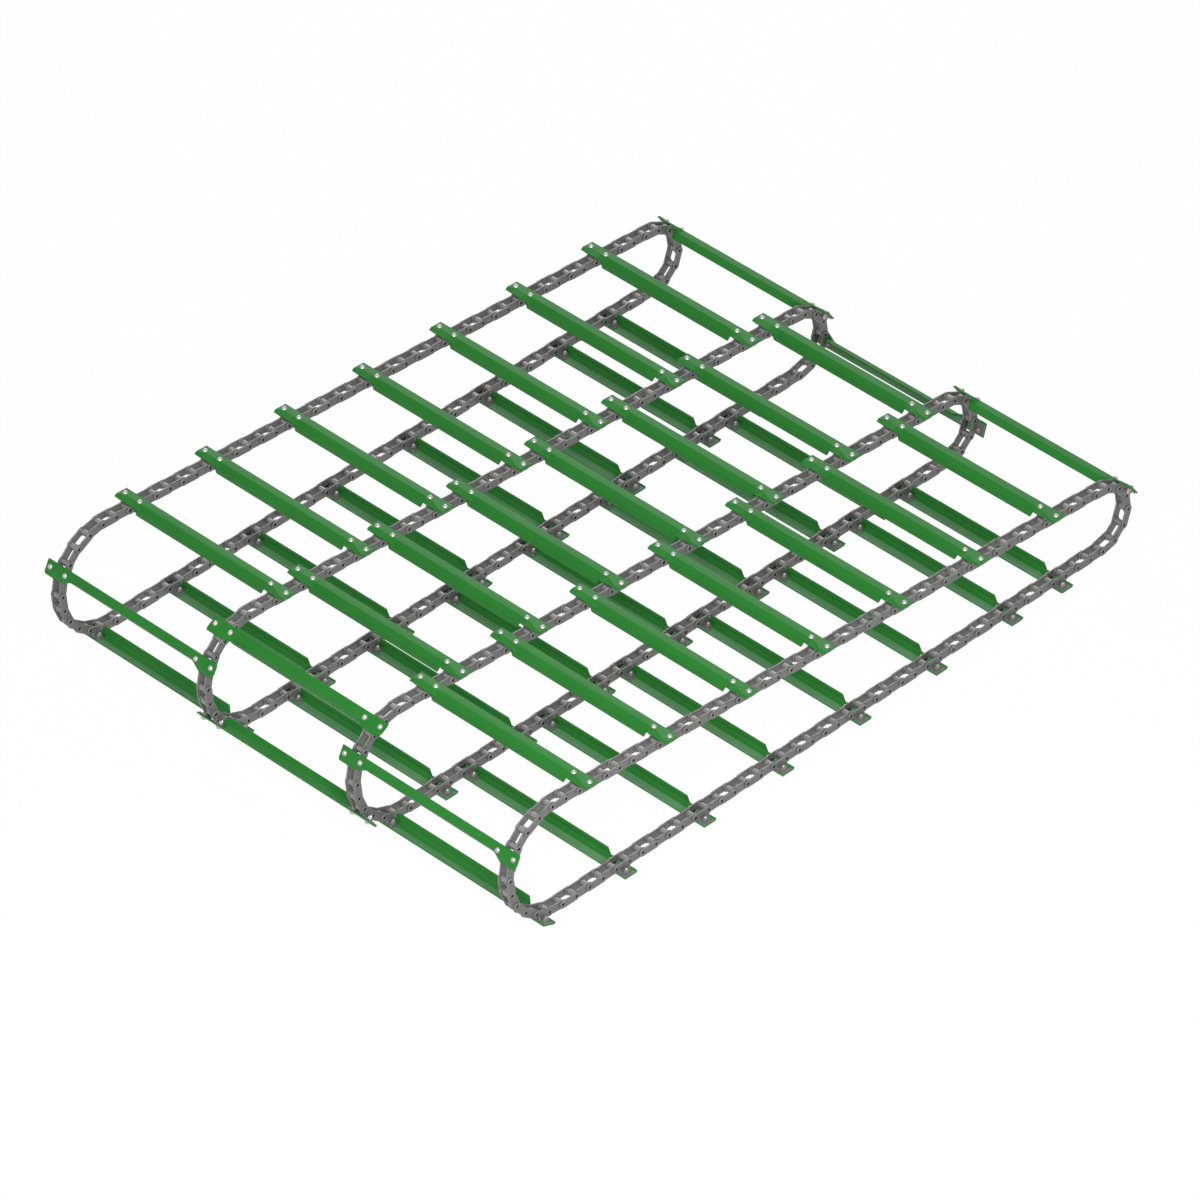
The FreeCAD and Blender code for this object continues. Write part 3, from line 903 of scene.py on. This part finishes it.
@dataclass
class LinkStrands:
    """The link plates, bent lugs, rollers and pins of the four strands."""

    pitch: float = PITCH
    plate_height: float = 0.0204
    inner_plate_height: float = 0.0232
    plate_thick: float = 0.003
    inner_half: float = 0.010
    side_play: float = 0.0004
    pin_radius: float = 0.004
    pin_recess: float = 0.0006
    bush_radius: float = 0.0057
    roller_radius: float = 0.00835
    roller_half: float = 0.0098
    roller_bore: float = 0.00578
    lug_base: float = 0.012
    lug_top: float = 0.0155
    lug_reach: float = 0.036
    lug_back: float = -0.007
    lug_wide_back: float = -0.0125
    lug_front: float = 0.0115
    lug_root: float = 0.0062
    lug_bend: float = 0.0045
    rim: float = 0.0004
    roller_rim: float = 0.0007
    pin_rim: float = 0.0005
    end_steps: int = 8
    hole_sides: int = 10
    inner_bend_steps: int = 4
    outer_bend_steps: int = 6
    roller_sides: int = 20
    pin_sides: int = 12

    @property
    def outer_in(self) -> float:
        """The inner face of an outer plate."""
        return self.inner_half + self.plate_thick + self.side_play

    @property
    def outer_out(self) -> float:
        """The outer face of an outer plate."""
        return self.outer_in + self.plate_thick

    def plate_loops(self, height: float, hole: float) -> list[list[Flat]]:
        """The outline of a link plate and its two holes.

        Args:
            height: the height of the plate.
            hole: the radius of the holes.

        Returns:
            The three loops.
        """
        half, radius = self.pitch / 2, height / 2
        outline = [
            *arc((half, 0.0), radius, -90.0, 90.0, self.end_steps),
            *arc((-half, 0.0), radius, 90.0, 270.0, self.end_steps),
        ]
        holes = [
            arc((side * half, 0.0), hole, 360.0, 0.0, self.hole_sides)[:-1] for side in (-1, 1)
        ]
        return [outline, *holes]

    def plate(self, loops: Sequence[Sequence[Flat]], low: float, high: float) -> Mesh:
        """One flat plate between two distances across the strand.

        Args:
            loops: the outline and its holes.
            low: the lower distance.
            high: the higher distance.

        Returns:
            The closed mesh.
        """
        return prism(loops, low, high, self.rim, lambda a, b, level: Vector((a, level, b)))

    def plain_pair(self, name: str, height: float, hole: float, low: float) -> Item:
        """Both plates of one link without lugs.

        Args:
            name: the form's name.
            height: the height of a plate.
            hole: the radius of its holes.
            low: how far its inner face lies from the strand's middle.

        Returns:
            The form.
        """
        loops = self.plate_loops(height, hole)
        high = low + self.plate_thick
        return form(name, [self.plate(loops, low, high), self.plate(loops, -high, -low)])

    def inner_pair(self) -> Item:
        """Both plates of one inner link."""
        height, hole = self.inner_plate_height, self.bush_radius
        return self.plain_pair("inner_pair", height, hole, self.inner_half)

    def outer_pair(self) -> Item:
        """Both plates of one plain outer link."""
        height, hole = self.plate_height, self.pin_radius
        return self.plain_pair("outer_pair", height, hole, self.outer_in)

    def lug(self, hand: Hand, back: float) -> Mesh:
        """The lug that is bent outwards over a plate, with a rounded fold.

        Args:
            hand: the side that it points to.
            back: where its trailing edge lies along the link.

        Returns:
            The closed mesh.
        """
        fold = self.lug_bend
        centre = (self.outer_in + fold, self.lug_top - fold)
        thick = self.lug_top - self.lug_base
        section = [
            (self.outer_in, self.lug_root),
            (self.outer_out, self.lug_root),
            *arc(centre, fold - thick, 180.0, 90.0, self.inner_bend_steps),
            (self.lug_reach, self.lug_base),
            (self.lug_reach, self.lug_top),
            *arc(centre, fold, 90.0, 180.0, self.outer_bend_steps),
        ]
        return prism(
            [section],
            back,
            self.lug_front,
            self.rim,
            lambda a, b, level: Vector((level, a * hand.value, b)),
        )

    def lug_pair(self, wide: Hand) -> Item:
        """Both attachment plates of one link, with one lug wider than the other.

        Args:
            wide: the side with the wider lug, away from the slat's leg.

        Returns:
            The form.
        """
        loops = self.plate_loops(self.plate_height, self.pin_radius)
        shells = []
        for hand in Hand:
            low, high = sorted((self.outer_in * hand.value, self.outer_out * hand.value))
            shells.append(self.plate(loops, low, high))
            shells.append(self.lug(hand, self.lug_wide_back if hand is wide else self.lug_back))
        return form(f"{wide.name.lower()}_lug_plates", shells)

    def roller(self) -> Item:
        """One roller with a bore and broken rims.

        Returns:
            The form.
        """
        rim, radius, half = self.roller_rim, self.roller_radius, self.roller_half
        profile = [
            (self.roller_bore, -half),
            (radius - rim, -half),
            (radius, -half + rim),
            (radius, half - rim),
            (radius - rim, half),
            (self.roller_bore, half),
        ]
        return form("roller", [turned(profile, self.roller_sides, Axis.ACROSS, hollow=True)])

    def pin(self) -> Item:
        """One pin with broken ends.

        Returns:
            The form.
        """
        end = self.outer_out - self.pin_recess
        rim, radius = self.pin_rim, self.pin_radius
        half = [(radius - rim, end), (radius, end - rim)]
        profile = [(side, -level) for side, level in half] + half[::-1]
        return form("pin", [turned(profile, self.pin_sides, Axis.ACROSS, hollow=False)])


@dataclass
class Slats:
    """The bent green slats: a flange on the lugs, a leg between strands and flared lips."""

    strand_gap: float = STRAND_GAP
    thick: float = 0.004
    top: float = SLAT_TOP
    back: float = 0.0162
    front: float = -0.0135
    fold: Flat = (-0.0052, SLAT_TOP)
    inner_fold: Flat = (-0.0035, 0.0155)
    knee: float = 0.0055
    inner_knee: float = 0.0045
    ease: float = 0.0011
    ease_share: float = 0.3
    small: float = 0.0006
    tip: float = -0.0129
    leg_stop: float = 0.0375
    overhang: float = -0.0372
    leg_trim: float = 0.008
    leg_trim_drop: float = 0.016
    tongue_long: float = 0.020
    tongue_trim: float = 0.009
    tongue_top: float = 0.009
    far_crease: tuple[Flat, ...] = (
        (leg_stop, -0.0052),
        (-0.018, -0.0052),
        (overhang, -0.016),
    )
    near_crease: tuple[Flat, ...] = (
        (leg_stop, -0.0052),
        (0.0107, -0.0052),
        (-0.02, -0.0192),
        (overhang, -0.0195),
    )
    lip_edge: tuple[Flat, ...] = (
        (leg_stop, 0.0052),
        (0.0165, 0.0134),
        (0.012, 0.0145),
        (overhang, 0.0145),
    )
    lip_lean: float = -0.0083
    lip_thick: float = 0.0028
    rim: float = 0.0004
    slack: float = 0.0001
    # Painted light added to the paint: a painted sheen on the flange's inner face, painted shade on
    # the inner face of the leg (darker on the facet above the inner knee) and a painted highlight
    # along the inner knee.
    painted_sheen: Colour = (0.093, 0.090, 0.101)
    leg_painted_shade: Colour = (-0.015, -0.094, -0.018)
    facet_painted_shade: Colour = (-0.0135, -0.132, -0.016)
    knee_painted_highlight: Colour = (0.030, -0.060, 0.030)
    plain: Colour = (0.0, 0.0, 0.0)
    facing_down: float = -0.9
    facing_back: float = 0.5

    @property
    def leg_end(self) -> float:
        """Where the leg stops, from the slat's middle."""
        return self.strand_gap / 2 - self.leg_stop

    def leg_section(self) -> list[Flat]:
        """The L-shaped section of the slat between the strands.

        Returns:
            The corners in order.
        """
        inside = self.front + self.thick
        under = self.top - self.thick
        knee, inner_knee = (self.front, self.knee), (inside, self.inner_knee)
        small = self.small
        return [
            (self.back, under + small),
            (self.back, self.top - small),
            (self.back - small, self.top),
            *eased((self.back, self.top), self.fold, knee, self.ease),
            *eased(self.fold, knee, (self.front, self.tip), self.ease),
            (self.front, self.tip + small),
            (self.front + small, self.tip),
            (inside - small, self.tip),
            (inside, self.tip + small),
            *eased((inside, self.tip), inner_knee, self.inner_fold, self.ease),
            *eased(inner_knee, self.inner_fold, (self.back, under), self.ease),
            (self.back - small, under),
        ]

    def coat(self, centre: Vector, normal: Vector) -> Colour:
        """The painted light and shade that a face adds to the paint's colour.

        Painted shade darkens the inner face of the leg, more on the facet above the inner knee; a
        painted sheen greys the flange's inner face, and a painted highlight runs along the inner
        knee.

        Args:
            centre: the middle of the face.
            normal: the way that it faces.

        Returns:
            The colour to add.
        """
        # Painted sheen under the flange, painted highlight at the inner knee, painted shade on the
        # rest of the leg's inner face.
        if normal.z < self.facing_down and centre.z > self.inner_knee:
            return self.painted_sheen
        if normal.x < self.facing_back or centre.x > self.inner_fold[0]:
            return self.plain
        if abs(centre.z - self.inner_knee) < self.ease:
            return self.knee_painted_highlight
        return self.leg_painted_shade if centre.z < self.inner_knee else self.facet_painted_shade

    def leg_cut(self, hand: Hand) -> list[Vector]:
        """The section of the leg at one of its ends, slanted at the near one.

        Args:
            hand: the end.

        Returns:
            The corners in space.
        """
        turn = self.tip + self.leg_trim_drop
        cut = []
        for u, n in self.leg_section():
            slant = max(0.0, turn - n) / self.leg_trim_drop if hand is Hand.NEAR else 0.0
            cut.append(Vector((u, hand.value * (self.leg_end - self.leg_trim * slant), n)))
        return cut

    def tongue(self) -> Mesh:
        """The slanted end of the leg that reaches on under the far lip.

        Returns:
            The closed mesh.
        """
        root, end = self.leg_end - self.thick, self.leg_end + self.tongue_long
        outline = [
            (root, self.tip),
            (end - self.tongue_trim, self.tip),
            (end, self.tongue_top),
            (self.leg_end, self.inner_knee),
            (root, self.inner_knee),
        ]
        return prism(
            [outline],
            self.front + self.slack,
            self.front + self.thick - self.slack,
            self.rim,
            lambda a, b, level: Vector((level, a, b)),
        )

    def lip_section(self, crease: float, edge: float) -> list[Flat]:
        """The flange and its folded lip at one place between the leg and the slat's end.

        Args:
            crease: where the lip turns down from the flange.
            edge: the height of the lip's edge.

        Returns:
            The corners in order.
        """
        under, small = self.top - self.thick, self.small
        fold, front = Vector((crease, self.top)), Vector((self.lip_lean - edge, edge))
        along_lip = (front - fold).normalized()
        inwards = Vector((-along_lip.y, along_lip.x))
        corner = front + inwards * self.lip_thick
        below = fold + inwards * self.thick
        below += along_lip * ((under - below.y) / along_lip.y)
        ease = min(self.ease, (front - fold).length * self.ease_share)
        return [
            (self.back, under + small),
            (self.back, self.top - small),
            (self.back - small, self.top),
            *eased((self.back, self.top), (fold.x, fold.y), (front.x, front.y), ease),
            (front.x, front.y),
            (corner.x, corner.y),
            *eased((corner.x, corner.y), (below.x, under), (self.back, under), ease),
            (self.back - small, under),
        ]

    def lip(self, hand: Hand) -> Mesh:
        """The flange past the end of the leg, with its lip flared over the strand.

        Args:
            hand: the end of the slat.

        Returns:
            The closed mesh.
        """
        creases = self.far_crease if hand is Hand.FAR else self.near_crease
        places = sorted({place for place, _ in (*creases, *self.lip_edge)}, reverse=True)
        sections = []
        for place in places:
            section = self.lip_section(along(creases, place), along(self.lip_edge, place))
            y = hand.value * (self.strand_gap / 2 - place)
            sections.append([Vector((u, y, n)) for u, n in section])
        return lofted(sections)

    def slat(self) -> Item:
        """One whole slat.

        Returns:
            The form.
        """
        leg = lofted([self.leg_cut(Hand.NEAR), self.leg_cut(Hand.FAR)])
        shells = [leg, self.tongue(), *(self.lip(hand) for hand in Hand)]
        return form("slat", shells, self.coat)


@dataclass
class Fasteners:
    """The domed bolts and the nuts that hold the slats on the lugs."""

    offset: float = 0.025
    seat: float = SLAT_TOP
    head_radius: float = 0.007
    head_high: float = 0.0055
    shank_radius: float = 0.004
    shank_end: float = 0.0025
    nut_base: float = 0.0055
    nut_top: float = 0.012
    nut_across: float = 0.013
    crown_radius: float = 0.0006
    dome_steps: int = 4
    bolt_sides: int = 14
    shank_taper: float = 0.85
    shank_rim: float = 0.0006
    nut_rim: float = 0.0011
    nut_rim_high: float = 0.00066
    nut_sides: int = 6

    def bolt(self) -> Mesh:
        """One bolt: a domed head on a plain shank.

        Returns:
            The closed mesh.
        """
        radius = (self.head_radius**2 + self.head_high**2) / (2 * self.head_high)
        middle = self.seat + self.head_high - radius
        widest = math.asin(self.head_radius / radius)
        dome = []
        for step in range(self.dome_steps, 0, -1):
            angle = widest * step / self.dome_steps
            dome.append((radius * math.sin(angle), middle + radius * math.cos(angle)))
        profile = [
            (self.shank_radius * self.shank_taper, self.shank_end),
            (self.shank_radius, self.shank_end + self.shank_rim),
            (self.shank_radius, self.seat),
            *dome,
            (self.crown_radius, self.seat + self.head_high),
        ]
        return turned(profile, self.bolt_sides, Axis.OUTWARDS, hollow=False)

    def nut(self) -> Mesh:
        """One six-sided nut with broken corners.

        Returns:
            The closed mesh.
        """
        corner = self.nut_across / (2 * math.cos(math.pi / self.nut_sides))
        profile = [
            (corner - self.nut_rim, self.nut_base),
            (corner, self.nut_base + self.nut_rim_high),
            (corner, self.nut_top),
        ]
        return turned(profile, self.nut_sides, Axis.OUTWARDS, hollow=False)

    def pair(self, name: str, shape: Callable[[], Mesh]) -> Item:
        """Two of one fastener, as they sit on a lug pair.

        Args:
            name: the form's name.
            shape: makes one fastener.

        Returns:
            The form.
        """
        shells = []
        for hand in Hand:
            shell = shape()
            step = (0.0, hand.value * self.offset, 0.0)
            bmesh.ops.translate(shell, vec=step, verts=shell.verts[:])
            shells.append(shell)
        return form(name, shells)


@dataclass
class Chain:
    """The whole chain: which piece stands at which row, and which body it moves with."""

    strand_gap: float = STRAND_GAP
    strands: tuple[int, ...] = (1, 2, 3, 4)
    bays: tuple[int, ...] = (1, 2, 3)
    middle_bay: int = 2
    middle_strands: tuple[int, ...] = (2, 3)
    section_starts: tuple[int, ...] = (0, 10, 20, 30)
    head_row: int = 42
    open_row: int = 49
    slat_rows: tuple[int, ...] = (*range(1, 44, 6), 51, *range(55, 98, 6))
    stagger: int = 2
    spin_rows: tuple[int, ...] = (43, 44, 45, 46, 47, 48)
    spots: dict[tuple[str, str], list[Spot]] = field(default_factory=dict)

    def owner(self, row: int) -> str:
        """The body that the link at a row moves with.

        Args:
            row: the pin row where the link starts.

        Returns:
            The body's name.
        """
        if row >= self.open_row:
            return "base"
        if row >= self.head_row:
            return "head"
        return f"section_{sum(row >= start for start in self.section_starts)}"

    def roller_body(self, row: int, body: str) -> str:
        """The body of a roller: its own round the head, and elsewhere its link's.

        Args:
            row: the roller's pin row.
            body: the body of its link.

        Returns:
            The body's name.
        """
        if row not in self.spin_rows:
            return body
        return f"head_roller_row_{self.spin_rows.index(row) + 1}"

    def across(self, place: int, places: Sequence[int]) -> float:
        """How far a strand or a bay lies from the chain's middle, by its place among the others."""
        return ((len(places) + 1) / 2 - place) * self.strand_gap

    def put(self, body: str, kind: str, spot: Spot) -> None:
        """Marks one place for a kind of piece on a body."""
        self.spots.setdefault((body, kind), []).append(spot)

    def slat_bays(self, row: int) -> tuple[int, ...]:
        """The bays whose slat sits on the link at a row.

        Args:
            row: the pin row where the link starts.

        Returns:
            The bays, none where the link is plain.
        """
        if row in self.slat_rows:
            return tuple(bay for bay in self.bays if bay != self.middle_bay)
        return (self.middle_bay,) if row - self.stagger in self.slat_rows else ()

    def mark(self, loop: Loop) -> None:
        """Goes once round the loop and marks every place.

        Args:
            loop: the path of the pins.
        """
        half = loop.pitch / 2
        for row in range(loop.count):
            body = self.owner(row)
            bays = self.slat_bays(row) if row % 2 else ()
            ends = ((row, -half), (row + 1, half))
            for strand in self.strands:
                across = self.across(strand, self.strands)
                middle = loop.link(row, across)
                if row % 2 == 0:
                    self.put(body, "inner_plates", middle)
                    for at, lead in ends:
                        rides = self.roller_body(at, body)
                        self.put(rides, "rollers", loop.link(row, across, lead))
                    continue
                if bays and (self.middle_bay not in bays or strand in self.middle_strands):
                    self.put(body, "far_end_lugs" if strand in bays else "near_end_lugs", middle)
                    self.put(body, "bolts", middle)
                    self.put(body, "nuts", middle)
                else:
                    self.put(body, "outer_plates", middle)
                for at, lead in ends:
                    if at != self.open_row:
                        self.put(body, "pins", loop.link(row, across, lead))
            for bay in bays:
                self.put(body, "slats", loop.link(row, self.across(bay, self.bays)))

    def nodes(self, body: str, kind: str) -> list[str]:
        """The solids that a kind of piece stands for on a body.

        Args:
            body: the body's name.
            kind: the kind of piece.

        Returns:
            The names of the solids.
        """
        if body.startswith("head_roller_row"):
            return [body]
        if kind.endswith("lugs"):
            return [f"{body}_attachment_plates"]
        if kind in ("bolts", "nuts") and body.startswith("section"):
            return [f"{body}_bolt_sets"]
        if kind == "slats" and body == "base":
            return ["base_side_slats", "base_middle_slats"]
        start = f"{body}_{kind.removesuffix('s')}"
        return [name for name in frame["nodes"] if name.startswith(start)]

    def build(self, layout: Layout) -> None:
        """Makes every piece of the chain.

        Args:
            layout: lays the copies and dresses them.
        """
        self.mark(Loop())
        links, slats, fasteners = LinkStrands(), Slats(), Fasteners()
        forms = {
            "inner_plates": (links.inner_pair(), Look.PLATE),
            "outer_plates": (links.outer_pair(), Look.PLATE),
            "far_end_lugs": (links.lug_pair(Hand.FAR), Look.PLATE),
            "near_end_lugs": (links.lug_pair(Hand.NEAR), Look.PLATE),
            "rollers": (links.roller(), Look.ROLLER),
            "pins": (links.pin(), Look.PIN),
            "slats": (slats.slat(), Look.PAINT),
            "bolts": (fasteners.pair("bolts", fasteners.bolt), Look.BOLT),
            "nuts": (fasteners.pair("nuts", fasteners.nut), Look.NUT),
        }
        for (body, kind), spots in self.spots.items():
            shape, look = forms[kind]
            layout.lay(f"{body}.{kind}", shape, spots, look, body, self.nodes(body, kind))
        for shape, _ in forms.values():
            bpy.data.objects.remove(shape)
        for node in frame["nodes"]:
            if node.endswith("_bushes"):
                layout.dress(node, Look.ROLLER)
            if node.endswith("_joint_pins"):
                layout.dress(node, Look.PIN)


# ---------------------------------------------------------------- studio


@dataclass(frozen=True)
class Lamp:
    """One soft square lamp aimed at the chain."""

    name: str
    place: Place
    size: float
    power: float

    def hang(self) -> None:
        """Puts the lamp in the scene."""
        data = bpy.data.lights.new(self.name, "AREA")
        data.shape = "SQUARE"
        data.size = self.size
        data.energy = self.power
        item = shown(self.name, data)
        item.location = self.place
        item.rotation_euler = (-Vector(self.place)).to_track_quat("-Z", "Y").to_euler()


@dataclass
class Studio:
    """A pale floor, soft lamps and the camera at the photograph's angle."""

    floor_half: float = 15.0
    floor_tone: float = 0.86
    floor_white: float = 0.98
    world_tone: float = 0.33
    eye: Place = (-12.44851, -13.52477, 14.50410)
    yaw: float = 47.3573
    elevation: float = 38.2873
    roll: float = -2.6337
    lens: float = 304.272
    sensor: float = 36.0
    far_clip: float = 200.0
    lamps: tuple[Lamp, ...] = (
        Lamp("key_lamp", (-3.3, -3.5, 3.8), size=3.0, power=312.0),
        Lamp("back_lamp", (3.2, 3.4, 3.6), size=3.2, power=90.0),
    )

    def build(self) -> None:
        """Sets up floor, world, lamps and camera."""
        bpy.context.scene.view_settings.view_transform = "Standard"
        self.floor()
        self.world()
        for lamp in self.lamps:
            lamp.hang()
        self.camera()

    @staticmethod
    def seen(tree: Tree) -> Node:
        """A mask for rays from the camera, mirrors and glass.

        Args:
            tree: the tree that the mask is for.

        Returns:
            The node that gives it.
        """
        path = node(tree, "ShaderNodeLightPath")
        first = node(tree, "ShaderNodeMath", operation="MAXIMUM")
        second = node(tree, "ShaderNodeMath", operation="MAXIMUM")
        wire(
            tree,
            (path, "Is Camera Ray", first, 0),
            (path, "Is Glossy Ray", first, 1),
            (first, 0, second, 0),
            (path, "Is Transmission Ray", second, 1),
        )
        return second

    def floor(self) -> None:
        """A wide pale floor that keeps the shadow."""
        half, tone = self.floor_half, self.floor_tone
        corners = [(-half, -half, 0), (half, -half, 0), (half, half, 0), (-half, half, 0)]
        mesh = bpy.data.meshes.new("floor")
        mesh.from_pydata(corners, [], [(0, 1, 2, 3)])
        item = shown("floor", mesh)
        made = bpy.data.materials.new("pale_floor")
        made.use_nodes = True
        tree = made.node_tree
        shader = tree.nodes["Principled BSDF"]
        shader.inputs["Base Color"].default_value = (tone, tone, tone, 1.0)
        shader.inputs["Roughness"].default_value = 1.0
        shader.inputs["Specular IOR Level"].default_value = 0.0
        glow = node(tree, "ShaderNodeEmission")
        share = node(tree, "ShaderNodeMath", {1: self.floor_white}, operation="MULTIPLY")
        mix = node(tree, "ShaderNodeMixShader")
        wire(
            tree,
            (self.seen(tree), 0, share, 0),
            (share, 0, mix, 0),
            (shader, 0, mix, 1),
            (glow, 0, mix, 2),
            (mix, 0, tree.nodes["Material Output"], "Surface"),
        )
        mesh.materials.append(made)

    def world(self) -> None:
        """White to the eye and in mirrors, a plain soft light to the chain."""
        world = bpy.data.worlds.new("studio")
        bpy.context.scene.world = world
        world.use_nodes = True
        tree = world.node_tree
        white = (1.0, 1.0, 1.0, 1.0)
        soft = tree.nodes["Background"]
        soft.inputs["Color"].default_value = white
        soft.inputs["Strength"].default_value = self.world_tone
        bright = node(tree, "ShaderNodeBackground", {"Color": white})
        mix = node(tree, "ShaderNodeMixShader")
        wire(
            tree,
            (self.seen(tree), 0, mix, 0),
            (soft, 0, mix, 1),
            (bright, 0, mix, 2),
            (mix, 0, tree.nodes["World Output"], "Surface"),
        )

    def camera(self) -> None:
        """The camera, far off with a long lens."""
        angles = (self.yaw, self.elevation, self.roll)
        yaw, rise, roll = (math.radians(angle) for angle in angles)
        reach = math.cos(rise)
        ahead = Vector((reach * math.cos(yaw), reach * math.sin(yaw), -math.sin(rise)))
        level = ahead.cross(Vector((0.0, 0.0, 1.0))).normalized()
        upright = level.cross(ahead)
        right = level * math.cos(roll) + upright * math.sin(roll)
        top = upright * math.cos(roll) - level * math.sin(roll)
        data = bpy.data.cameras.new("camera")
        data.lens = self.lens
        data.sensor_width = self.sensor
        data.clip_end = self.far_clip
        item = shown("camera", data)
        turn = Matrix((right, top, -ahead)).transposed().to_4x4()
        item.matrix_world = Matrix.Translation(self.eye) @ turn
        bpy.context.scene.camera = item


def main() -> None:
    """Builds the chain and its studio."""
    logging.basicConfig(level=logging.INFO, format="%(name)s: %(message)s")
    Chain().build(Layout(Effects()))
    Studio().build()
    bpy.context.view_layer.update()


if __name__ == "__main__":
    main()
